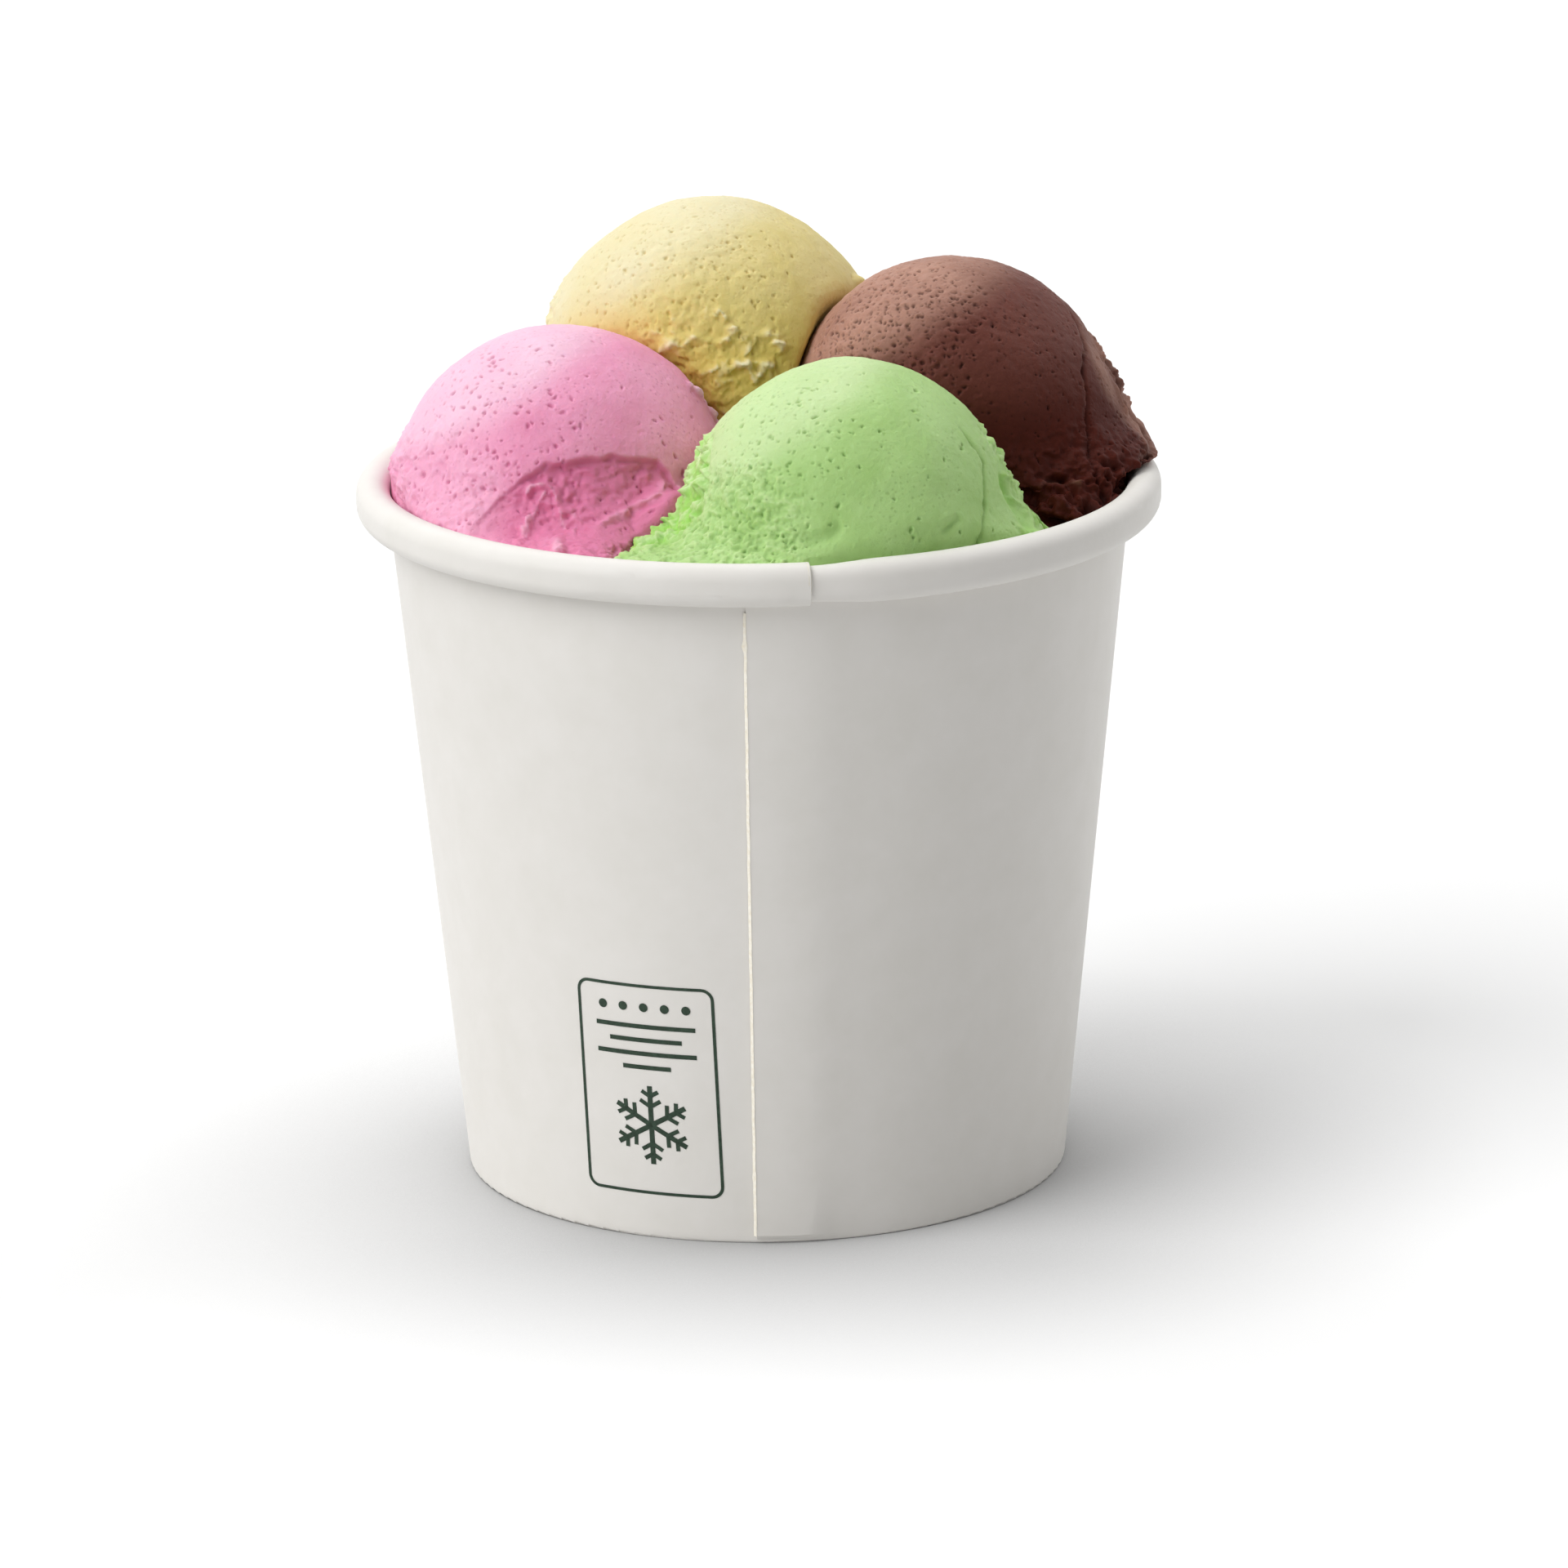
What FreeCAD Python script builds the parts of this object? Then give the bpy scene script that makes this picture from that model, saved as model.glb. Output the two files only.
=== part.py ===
"""Paper ice cream cup, filled with four scoops.

A rolled-rim cup made as such cups are: a printed board blank wrapped into a
cone with a glued side lap, a base disc with a down-turned skirt, and a hem
that folds the wall in and up round that skirt. Four flavours are scooped in
and pressed together. Each is one solid: the ball, the ragged skirt that the
scoop's edge leaves, and the ice cream that fills its share of the cup.

Origin at the middle of the foot, +Z up, millimetres. -Y is the front.
"""
import FreeCAD, Part
import Mesh
import Sketcher
import os
from math import atan2, cos, exp, hypot, pi, radians, sin, sqrt, tan

from FreeCAD import Vector

doc = FreeCAD.newDocument("ice_cream_cup")

# ---------------------------------------------------------------- sizes
SIZES = {
    # cup
    "rim_diameter": 95.0,
    "cup_height": 84.3,
    "wall_lean": 5.7,
    "board": 0.42,
    # rolled rim
    "roll_width": 4.0,
    "roll_depth": 5.0,
    "roll_lower_bend": "=0.475 * roll_width",
    "roll_tail_turn": 135.0,
    # side lap, as bearings round the cup
    "seam_bearing": -92.2,
    "lap_angle": 9.2,
    "lap_ease_angle": 11.0,
    # hem and base
    "hem_height": 5.6,
    "foot_bend": 0.4,
    "base_board": 0.42,
    "base_recess": 7.0,
    "base_bend": 1.0,
    "glue_gap": 0.05,
    # ice cream
    "fill_drop": 2.4,
    "foot_spread": 6.5,
    "foot_rise": 2.0,
    "wall_clearance": 0.15,
    "scoop_clearance": 0.35,
    "vanilla_radius": 20.7,
    "vanilla_rise": 7.1,
    "vanilla_bearing": 103.6,
    "chocolate_radius": 19.0,
    "chocolate_rise": 4.2,
    "chocolate_bearing": 19.2,
    "strawberry_radius": 19.8,
    "strawberry_rise": -1.5,
    "strawberry_bearing": 189.8,
    "pistachio_radius": 19.1,
    "pistachio_rise": -1.2,
    "pistachio_bearing": -65.0,
}

sheet = doc.addObject("Spreadsheet::Sheet", "Sizes")
for row, (alias, value) in enumerate(SIZES.items(), start=1):
    sheet.set("A%d" % row, alias)
    sheet.set("B%d" % row, str(value))
    sheet.setAlias("B%d" % row, alias)
doc.recompute()


def size(alias):
    return float(getattr(sheet, alias))


# ---------------------------------------------------------------- wall line
# The wall's outer face is a straight line in the (radius, height) plane. An
# offset is measured square to it, outwards; the single board lies from
# -board to 0.
board = size("board")
lean = radians(size("wall_lean"))
roll_bend = size("roll_width") / 2
roll_inner_bend = roll_bend - board
roll_centre = (size("rim_diameter") / 2 - roll_bend, size("cup_height") - roll_bend)
foot_radius = roll_centre[0] - roll_centre[1] * tan(lean) - roll_inner_bend / cos(lean)


def wall_point(height, offset=0.0):
    """Point at this height on the line that lies offset from the wall's outer face."""
    return (foot_radius + height * tan(lean) + offset / cos(lean), height)


def at_bearing(point, bearing):
    """Turn a (radius, height) point to a bearing round the cup."""
    turn = radians(bearing)
    return Vector(point[0] * cos(turn), point[0] * sin(turn), point[1])


# ---------------------------------------------------------------- side wall
LAP_RISE = 0.6          # height over which the wall steps out above the pressed foot


def arc_point(centre, radius, turn):
    return (centre[0] + radius * cos(turn), centre[1] + radius * sin(turn))


def roll_path(offset):
    """The rolled rim at an offset of the wall line: over the top, down and back in."""
    lower_bend = size("roll_lower_bend")
    lower_centre = (
        roll_centre[0] + roll_bend - lower_bend,
        roll_centre[1] - (size("roll_depth") - roll_bend - lower_bend),
    )
    start = pi - lean
    tail = -radians(size("roll_tail_turn"))
    upper = roll_inner_bend - offset
    lower = lower_bend - board - offset
    return [
        ("arc", [arc_point(roll_centre, upper, turn) for turn in (start, start / 2, 0.0)]),
        ("line", [arc_point(roll_centre, upper, 0.0), arc_point(lower_centre, lower, 0.0)]),
        ("arc", [arc_point(lower_centre, lower, turn) for turn in (0.0, tail / 2, tail)]),
    ]


def wall_wire(inner, outer, bearing):
    """Closed section at a bearing: the hem, folded in under the base's skirt and up
    inside it, the pressed foot, the wall between two offsets, and its rolled rim."""
    bend = size("foot_bend")
    slot = size("base_board") + 2 * size("glue_gap")
    hem_outer = -board - slot
    hem_inner = hem_outer - board
    top = size("hem_height")

    def foot_arc(point, side):
        """Rounded foot from upright to flat, side +1 outside and -1 inside."""
        return [
            point,
            (point[0] - side * bend * (1 - cos(pi / 4)), bend * (1 - sin(pi / 4))),
            (point[0] - side * bend, 0.0),
        ]

    outside = foot_arc(wall_point(bend), 1)
    inside = foot_arc(wall_point(bend, hem_inner), -1)
    outer_roll = roll_path(outer)
    inner_roll = roll_path(inner)
    run = [
        ("line", [inside[2], outside[2]]),
        ("arc", outside[::-1]),
        ("line", [outside[0], wall_point(bend + LAP_RISE, outer)]),
        ("line", [wall_point(bend + LAP_RISE, outer), outer_roll[0][1][0]]),
    ]
    run += outer_roll
    run.append(("line", [outer_roll[-1][1][-1], inner_roll[-1][1][-1]]))
    run += [(kind, points[::-1]) for kind, points in inner_roll[::-1]]
    inner_line = [
        inner_roll[0][1][0],
        wall_point(board + LAP_RISE, inner),
        wall_point(board, -board),
        wall_point(board, hem_outer),
        wall_point(top, hem_outer),
        wall_point(top, hem_inner),
        inside[0],
    ]
    run += [("line", [p, q]) for p, q in zip(inner_line, inner_line[1:])]
    run.append(("arc", inside))
    edges = []
    for kind, points in run:
        placed = [at_bearing(point, bearing) for point in points]
        curve = Part.LineSegment if kind == "line" else Part.Arc
        edges.append(curve(*placed).toShape())
    return Part.Wire(edges)


def revolved(name, wire, angle):
    """A section swept round the cup's axis by an angle bound to the sheet."""
    section = doc.addObject("Part::Feature", name + "_section")
    section.Shape = Part.Face(wire)
    sweep = doc.addObject("Part::Revolution", name)
    sweep.Source = section
    sweep.Axis = Vector(0, 0, 1)
    sweep.Base = Vector(0, 0, 0)
    sweep.Solid = True
    sweep.setExpression("Angle", angle)
    return sweep


seam = size("seam_bearing")
lap_end = seam + size("lap_angle")
ease_end = lap_end + size("lap_ease_angle")

single = revolved(
    "single_wall",
    wall_wire(-board, 0, ease_end),
    "360 - Sizes.lap_angle - Sizes.lap_ease_angle",
)
lapped = revolved("lapped_wall", wall_wire(-board, board, seam), "Sizes.lap_angle")

# Past the inner board's edge the outer board eases back onto the cone.
EASE_STEPS = 4
ease = doc.addObject("Part::Loft", "eased_wall")
ease_sections = []
for step in range(EASE_STEPS + 1):
    share = step / EASE_STEPS
    lift = board * (1 + cos(pi * share)) / 2
    section = doc.addObject("Part::Feature", "ease_section_%d" % step)
    section.Shape = wall_wire(lift - board, lift, lap_end + share * size("lap_ease_angle"))
    ease_sections.append(section)
ease.Sections = ease_sections
ease.Solid = True
ease.Ruled = False

sidewall = doc.addObject("Part::MultiFuse", "sidewall")
sidewall.Shapes = [single, lapped, ease]
sidewall.Label = "cup_sidewall"

# ---------------------------------------------------------------- base
# A disc with its edge turned down, seated between the wall and the hem.
FOOT_RADIUS = (
    "((Sizes.rim_diameter - Sizes.roll_width) / 2"
    " - (Sizes.cup_height - Sizes.roll_width / 2) * tan(Sizes.wall_lean)"
    " - (Sizes.roll_width / 2 - Sizes.board) / cos(Sizes.wall_lean))"
)
SKIRT_INSET = "(Sizes.board + Sizes.glue_gap) / cos(Sizes.wall_lean)"
SKIRT_FOOT = "(Sizes.board + Sizes.glue_gap)"
DISC_TOP = "(Sizes.base_recess + Sizes.base_board)"

base = doc.addObject("PartDesign::Body", "base")
base.Label = "cup_base"
upright = [plane for plane in base.Origin.OriginFeatures if plane.Role == "XZ_Plane"][0]
profile = base.newObject("Sketcher::SketchObject", "base_profile")
profile.AttachmentSupport = [(upright, "")]
profile.MapMode = "FlatFace"

skirt_offset = -board - size("glue_gap")
skirt_foot = board + size("glue_gap")
disc_top = size("base_recess") + size("base_board")
outer_foot = wall_point(skirt_foot, skirt_offset)
outer_top = wall_point(disc_top, skirt_offset)
skirt_width = size("base_board")
inner_top = (wall_point(size("base_recess"), skirt_offset)[0] - skirt_width, size("base_recess"))
corners = [
    (0.0, size("base_recess")),
    inner_top,
    (outer_foot[0] - skirt_width, skirt_foot),
    outer_foot,
    outer_top,
    (0.0, disc_top),
]
for index, corner in enumerate(corners):
    end = corners[(index + 1) % len(corners)]
    line = Part.LineSegment(Vector(corner[0], corner[1], 0), Vector(end[0], end[1], 0))
    profile.addGeometry(line, False)

START, END, ORIGIN, V_AXIS = 1, 2, -1, -2
for index in range(len(corners)):
    profile.addConstraint(
        Sketcher.Constraint("Coincident", index, END, (index + 1) % len(corners), START)
    )
for level in (0, 2, 4):
    profile.addConstraint(Sketcher.Constraint("Horizontal", level))
profile.addConstraint(Sketcher.Constraint("PointOnObject", 0, START, V_AXIS))
profile.addConstraint(Sketcher.Constraint("Vertical", 5))


def dimension(kind, first, second, value, expression):
    """A driving distance between two sketch points, bound to the sheet."""
    index = profile.addConstraint(Sketcher.Constraint(kind, *first, *second, value))
    profile.setExpression("Constraints[%d]" % index, expression)


origin = (ORIGIN, START)
dimension("DistanceY", origin, (0, START), size("base_recess"), "Sizes.base_recess")
dimension("DistanceY", origin, (4, END), disc_top, DISC_TOP)
dimension("DistanceY", origin, (2, END), skirt_foot, SKIRT_FOOT)
dimension("DistanceX", (2, START), (2, END), skirt_width, "Sizes.base_board")
for point, height, radius in (
    ((2, END), SKIRT_FOOT, outer_foot[0]),
    ((3, END), DISC_TOP, outer_top[0]),
):
    dimension(
        "DistanceX", origin, point, radius,
        "%s + %s * tan(Sizes.wall_lean) - %s" % (FOOT_RADIUS, height, SKIRT_INSET),
    )
dimension(
    "DistanceX", origin, (0, END), inner_top[0],
    "%s + Sizes.base_recess * tan(Sizes.wall_lean) - %s - Sizes.base_board"
    % (FOOT_RADIUS, SKIRT_INSET),
)

turned = base.newObject("PartDesign::Revolution", "base_turned")
turned.Profile = profile
turned.ReferenceAxis = (profile, ["V_Axis"])
turned.Angle = 360
doc.recompute()


def round_edge(name, point, expression):
    """Fillet the ring edge of the base that runs through a (radius, height) point."""
    found = [
        "Edge%d" % number
        for number, edge in enumerate(base.Tip.Shape.Edges, start=1)
        if hasattr(edge.Curve, "Radius")
        and abs(edge.Curve.Radius - point[0]) < 0.01
        and abs(edge.Curve.Center.z - point[1]) < 0.01
    ]
    previous = base.Tip
    fillet = base.newObject("PartDesign::Fillet", name)
    fillet.Base = (previous, found)
    fillet.setExpression("Radius", expression)
    doc.recompute()


round_edge("outer_bend", outer_top, "Sizes.base_bend")
round_edge("inner_bend", inner_top, "Sizes.base_bend - Sizes.base_board")

# ---------------------------------------------------------------- ice cream
# Each scoop is a stack of closed level rings round its own upright axis. Up to
# the fill level a ring is the scoop's share of the cup. Above it, it is the
# ball with its ragged skirt, hollowed where a scoop in front of it presses in.
FILL_LEVEL = size("cup_height") - size("fill_drop")
FLOOR_LEVEL = disc_top + size("wall_clearance")
ROLL_CLEAR = size("cup_height") + size("wall_clearance")
RING_POINTS = 52
SHELF_RISE = 1.2        # how far the fill's uneven top rises above its level
DOME_RINGS = 13
SKIRT_RINGS = 5
SKIRT_BAND = 5.0        # height of the band above the rim that the skirt takes
UNDERSIDE = 0.05        # step between the ring inside the rim and the one that may lie on it


def waves(angle, seeds):
    """Uneven ripple between about -1 and 1, made of a few waves round the ring."""
    total = sum(weight * sin(count * angle + phase) for count, phase, weight in seeds)
    return total / sum(weight for count, phase, weight in seeds)


class Scoop:
    def __init__(self, flavour, ripple, skirt, folds=()):
        self.name = "scoop_" + flavour
        self.radius = size(flavour + "_radius")
        self.level = size("cup_height") + size(flavour + "_rise")
        bearing = radians(size(flavour + "_bearing"))
        wall = wall_point(roll_centre[1], -board)[0] - size("wall_clearance")
        self.distance = wall - self.radius
        self.x = self.distance * cos(bearing)
        self.y = self.distance * sin(bearing)
        self.bearing = bearing
        self.ripple = ripple
        self.skirt = skirt
        self.folds = folds
        self.pressed_by = []
        self.sides = None

    def skirt_reach(self, angle, height):
        """How far the torn skirt stands out of the ball, widest where it meets the fill."""
        above = height - FILL_LEVEL
        ragged = 0.55 + 0.45 * waves(angle, self.ripple)
        reach = self.skirt * ragged * exp(-((above - 1.5) / 2.4) ** 2)
        return reach + size("foot_spread") * exp(-max(above, 0.0) / size("foot_rise"))

    def fold_reach(self, angle, height):
        """How far the scoop's layered folds reach out past the ball, over the rim."""
        reach = 0.0
        for turn, spread, out, top, drop in self.folds:
            swing = (angle - radians(turn) + pi) % (2 * pi) - pi
            share = min(max((self.level + top - height) / drop, 0.0), 1.0)
            ledge = share * share * (3 - 2 * share)
            reach += out * ledge * exp(-(swing / radians(spread)) ** 2)
        return reach

    def outline_reach(self, angle, height):
        """Ring radius of ball, skirt and folds at a height, kept inside the cup's wall."""
        rise = height - self.level
        ball = sqrt(max(self.radius ** 2 - rise ** 2, 0.0))
        uneven = 1 + 0.012 * waves(angle, self.ripple)
        wall = self.wall_reach(angle, height)
        reach = min(ball * uneven + self.skirt_reach(angle, height), wall)
        if self.folds:
            reach += self.fold_reach(angle, height)
        return reach if height >= ROLL_CLEAR else min(reach, wall)

    def inside_ball(self, x, y, height, grown):
        dx = x - self.x
        dy = y - self.y
        if height > self.level + self.radius + grown:
            return False
        rise = min(height, self.level + self.radius - 1e-6)
        away = hypot(dx, dy)
        return away < self.outline_reach(atan2(dy, dx), rise) + grown

    def wall_reach(self, angle, height):
        """Distance to the board at a height, from the scoop's axis."""
        limit = wall_point(min(height, roll_centre[1]), -board)[0] - size("wall_clearance")
        along = self.x * cos(angle) + self.y * sin(angle)
        return -along + sqrt(along ** 2 + limit ** 2 - self.distance ** 2)

    def side_reach(self, angle):
        """Distance to the upright planes that share the cup out between scoops."""
        best = 1e6
        for normal in self.sides:
            toward = normal[0] * cos(angle) + normal[1] * sin(angle)
            if toward > 1e-9:
                depth = -(self.x * normal[0] + self.y * normal[1]) - size("scoop_clearance") / 2
                best = min(best, depth / toward)
        return best

    def fill_reach(self, angle, height):
        return min(self.wall_reach(angle, height), self.side_reach(angle))

    def pressed_reach(self, angle, height, reach):
        """Cut a reach short where a scoop in front presses in."""
        for other in self.pressed_by:
            steps = 28
            clear = 0.0
            for step in range(1, steps + 1):
                out = reach * step / steps
                x = self.x + out * cos(angle)
                y = self.y + out * sin(angle)
                if other.inside_ball(x, y, height, size("scoop_clearance")):
                    hit = out
                    for halving in range(12):
                        middle = (clear + hit) / 2
                        x = self.x + middle * cos(angle)
                        y = self.y + middle * sin(angle)
                        if other.inside_ball(x, y, height, size("scoop_clearance")):
                            hit = middle
                        else:
                            clear = middle
                    reach = clear
                    break
                clear = out
        return reach

    def dome_reach(self, angle, height):
        reach = self.outline_reach(angle, height)
        if height < ROLL_CLEAR - 2 * UNDERSIDE:
            reach = min(reach, self.side_reach(angle))
        return max(self.pressed_reach(angle, height, reach), 0.05)

    def angles(self):
        """Bearings of the ring points: corners of the share, and even steps between."""
        corners = []
        limit = wall_point(FILL_LEVEL, -board)[0] - size("wall_clearance")
        for index, normal in enumerate(self.sides):
            along = (normal[1], -normal[0]) if index else (-normal[1], normal[0])
            inset = size("scoop_clearance") / 2
            run = sqrt(limit ** 2 - inset ** 2)
            corners.append(atan2(along[1] * run - normal[1] * inset - self.y,
                                 along[0] * run - normal[0] * inset - self.x))
        spread = (self.sides[0][0] * self.sides[1][0] + self.sides[0][1] * self.sides[1][1])
        pull = size("scoop_clearance") / 2 / (1 + spread)
        apex_x = -(self.sides[0][0] + self.sides[1][0]) * pull
        apex_y = -(self.sides[0][1] + self.sides[1][1]) * pull
        corners.append(atan2(apex_y - self.y, apex_x - self.x))
        corners = sorted(corner % (2 * pi) for corner in corners)
        result = []
        for corner, following in zip(corners, corners[1:] + [corners[0] + 2 * pi]):
            count = max(round(RING_POINTS * (following - corner) / (2 * pi)), 2)
            result += [corner + (following - corner) * k / count for k in range(count)]
        return result

    def rings(self):
        angles = self.angles()
        rings = []
        for height in (FLOOR_LEVEL, (FLOOR_LEVEL + FILL_LEVEL) / 2, FILL_LEVEL - 2.0):
            rings.append([(a, self.fill_reach(a, height), height) for a in angles])
        crest = []
        for a in angles:
            height = FILL_LEVEL + SHELF_RISE * (0.5 + 0.5 * waves(a * 2, self.ripple))
            crest.append((a, self.fill_reach(a, height), height))
        rings.append(crest)
        start = FILL_LEVEL + SHELF_RISE + size("scoop_clearance")
        seat = max(ROLL_CLEAR, start + 2 * UNDERSIDE)
        top = self.level + self.radius
        levels = [start, seat - UNDERSIDE]
        levels += [seat + SKIRT_BAND * k / SKIRT_RINGS for k in range(SKIRT_RINGS)]
        first = (seat + SKIRT_BAND - self.level) / self.radius
        turn = pi / 2 if first >= 1 else atan2(first, sqrt(1 - first ** 2))
        for k in range(DOME_RINGS):
            share = k / DOME_RINGS
            levels.append(self.level + self.radius * sin(turn + (pi / 2 - turn) * share))
        rings += [[(a, self.dome_reach(a, z), z) for a in angles] for z in levels]
        return rings, top

    def solid(self):
        """The rings joined by triangles and closed at floor and crown."""
        rings, top = self.rings()
        points = [
            [(self.x + out * cos(a), self.y + out * sin(a), z) for a, out, z in ring]
            for ring in rings
        ]
        floor = (self.x, self.y, rings[0][0][2])
        crown = (self.x, self.y, top)
        count = len(points[0])
        facets = []
        for i in range(count):
            j = (i + 1) % count
            facets.append((floor, points[0][j], points[0][i]))
            for lower, upper in zip(points, points[1:]):
                facets.append((lower[i], lower[j], upper[j]))
                facets.append((lower[i], upper[j], upper[i]))
            facets.append((points[-1][i], points[-1][j], crown))
        shell = Part.Shape()
        shell.makeShapeFromMesh(Mesh.Mesh(facets).Topology, 0.001)
        return Part.Solid(shell.Shells[0])


scoops = {
    "strawberry": Scoop(
        "strawberry", ((3, 0.4, 1.0), (5, 2.1, 0.8), (7, 4.0, 0.6)), 1.2,
    ),
    "pistachio": Scoop(
        "pistachio", ((2, 1.0, 0.8), (5, 0.3, 1.0), (8, 2.6, 0.6)), 1.6,
    ),
    "chocolate": Scoop(
        "chocolate", ((3, 5.1, 1.0), (4, 1.2, 0.7), (7, 0.8, 0.5)), 1.2,
        folds=((-14.0, 34.0, 2.2, 10.0, 11.0), (-27.0, 27.0, 3.7, 2.0, 5.0)),
    ),
    "vanilla": Scoop(
        "vanilla", ((2, 3.0, 1.0), (5, 4.4, 0.8), (7, 1.9, 0.5)), 1.0,
    ),
}

# Pressing order, front to back: a scoop is hollowed by those named before it.
placed = []
for scoop in scoops.values():
    scoop.pressed_by = list(placed)
    placed.append(scoop)

# The planes that share out the cup stand halfway between neighbours' bearings.
around = sorted(scoops.values(), key=lambda scoop: scoop.bearing % (2 * pi))
for scoop, previous, following in zip(
    around, [around[-1]] + around[:-1], around[1:] + [around[0]]
):
    before = (scoop.bearing - previous.bearing) % (2 * pi)
    after = (following.bearing - scoop.bearing) % (2 * pi)
    right = scoop.bearing - before / 2
    left = scoop.bearing + after / 2
    scoop.sides = ((sin(right), -cos(right)), (-sin(left), cos(left)))

for scoop in scoops.values():
    feature = doc.addObject("Part::Feature", scoop.name)
    feature.Shape = scoop.solid()
    feature.Label = scoop.name

# ---------------------------------------------------------------- export
doc.recompute()
for item in doc.Objects:
    if "Invalid" in item.State or "Error" in item.State:
        raise RuntimeError("%s failed: %s" % (item.Name, item.State))

os.makedirs("parts", exist_ok=True)
finished = [sidewall, base] + [doc.getObject(scoop.name) for scoop in scoops.values()]
for item in finished:
    if item.Shape.isNull() or not item.Shape.isValid():
        raise RuntimeError("%s has no valid shape" % item.Label)
for item in finished:
    item.Shape.exportStep("parts/%s.step" % item.Label)
    box = item.Shape.BoundBox
    print("%-18s solids %d  faces %d  volume %.1f  z %.2f to %.2f" % (
        item.Label, len(item.Shape.Solids), len(item.Shape.Faces), item.Shape.Volume,
        box.ZMin, box.ZMax,
    ))
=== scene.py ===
import bpy
import math
import numpy as np
from mathutils import Matrix, Vector, noise


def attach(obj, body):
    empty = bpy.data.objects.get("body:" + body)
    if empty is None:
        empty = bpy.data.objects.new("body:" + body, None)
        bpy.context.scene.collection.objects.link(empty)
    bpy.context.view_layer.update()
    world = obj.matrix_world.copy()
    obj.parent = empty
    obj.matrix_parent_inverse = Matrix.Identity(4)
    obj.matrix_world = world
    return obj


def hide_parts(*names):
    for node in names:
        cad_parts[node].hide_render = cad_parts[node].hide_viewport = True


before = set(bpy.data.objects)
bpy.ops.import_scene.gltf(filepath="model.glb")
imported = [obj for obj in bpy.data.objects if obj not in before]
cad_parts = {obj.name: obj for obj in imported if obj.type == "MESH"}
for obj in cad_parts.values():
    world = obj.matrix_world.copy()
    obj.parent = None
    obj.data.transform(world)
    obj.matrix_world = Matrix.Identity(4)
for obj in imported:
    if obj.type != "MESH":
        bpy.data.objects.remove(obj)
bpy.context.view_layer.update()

# ---- Cup wall ---------------------------------------------------------------
# One blank of white cup board, wrapped to a cone and glued along a side lap,
# with a rolled rim above and a hem below. The board is clay coated, so it is
# smooth and slightly satin, with a faint unevenness of the pulp.
CRISP_BEND = math.radians(28)       # the board stays crisp where it bends more than this


def linear(code):
    """sRGB hex to the linear colour that a shader takes."""
    channels = [int(code[i:i + 2], 16) / 255 for i in (1, 3, 5)]
    light = [c / 12.92 if c <= 0.04045 else ((c + 0.055) / 1.055) ** 2.4 for c in channels]
    return (*light, 1.0)


def add_node(tree, kind, inputs=None, **settings):
    """Add a shader node; an input is a value or the output socket that feeds it."""
    made = tree.nodes.new(kind)
    for key, value in settings.items():
        setattr(made, key, value)
    for key, value in (inputs or {}).items():
        if isinstance(value, bpy.types.NodeSocket):
            tree.links.new(value, made.inputs[key])
        else:
            made.inputs[key].default_value = value
    return made


def new_material(name):
    material = bpy.data.materials.new(name)
    material.use_nodes = True
    material.node_tree.nodes.clear()
    return material, material.node_tree


def finish_material(tree, shader):
    add_node(tree, "ShaderNodeOutputMaterial", {"Surface": shader.outputs[0]})


def colour_ramp(tree, fac, stops):
    """Colours along a 0 to 1 value; stops are (place, hex)."""
    ramp = add_node(tree, "ShaderNodeValToRGB", {"Fac": fac})
    elements = ramp.color_ramp.elements
    while len(elements) < len(stops):
        elements.new(0.5)
    for element, (place, code) in zip(elements, stops):
        element.position = place
        element.color = linear(code)
    return ramp.outputs["Color"]


def select_only(piece):
    if bpy.context.object and bpy.context.object.mode != "OBJECT":
        bpy.ops.object.mode_set(mode="OBJECT")
    bpy.ops.object.select_all(action="DESELECT")
    piece.select_set(True)
    bpy.context.view_layer.objects.active = piece


def merged_copy(node, name):
    """A node's mesh as a new object, with its loose triangles joined at their corners."""
    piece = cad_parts[node].copy()
    piece.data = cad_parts[node].data.copy()
    piece.name = name
    piece.parent = None
    for key in list(piece.keys()):
        del piece[key]
    bpy.context.scene.collection.objects.link(piece)
    select_only(piece)
    bpy.ops.object.mode_set(mode="EDIT")
    bpy.ops.mesh.select_all(action="SELECT")
    bpy.ops.mesh.remove_doubles(threshold=2e-6)
    bpy.ops.mesh.customdata_custom_splitnormals_clear()
    bpy.ops.object.mode_set(mode="OBJECT")
    piece.data.materials.clear()
    return piece


def cup_board(name, face, shade):
    """Cup board: off-white and satin, so lights blur on it. The pulp clouds it at 6 mm, and
    its grain is drawn 0.4 mm wide, coarser than real fibres, so that it shows."""
    material, tree = new_material(name)
    place = add_node(tree, "ShaderNodeTexCoord").outputs["Object"]
    pulp = add_node(tree, "ShaderNodeTexNoise",
                    {"Vector": place, "Scale": 160.0, "Detail": 3.0, "Roughness": 0.6})
    grain = add_node(tree, "ShaderNodeTexNoise",
                     {"Vector": place, "Scale": 2400.0, "Detail": 2.0, "Roughness": 0.7})
    colour = colour_ramp(tree, pulp.outputs["Fac"], [(0.3, shade), (0.7, face)])
    soft = add_node(tree, "ShaderNodeBump",
                    {"Height": pulp.outputs["Fac"], "Strength": 0.25, "Distance": 0.0004})
    fine = add_node(tree, "ShaderNodeBump",
                    {"Height": grain.outputs["Fac"], "Strength": 0.2, "Distance": 0.00003,
                     "Normal": soft.outputs["Normal"]})
    shader = add_node(tree, "ShaderNodeBsdfPrincipled",
                      {"Base Color": colour, "Roughness": 0.48, "IOR": 1.5,
                       "Specular IOR Level": 0.35, "Normal": fine.outputs["Normal"]})
    finish_material(tree, shader)
    return material


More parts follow.
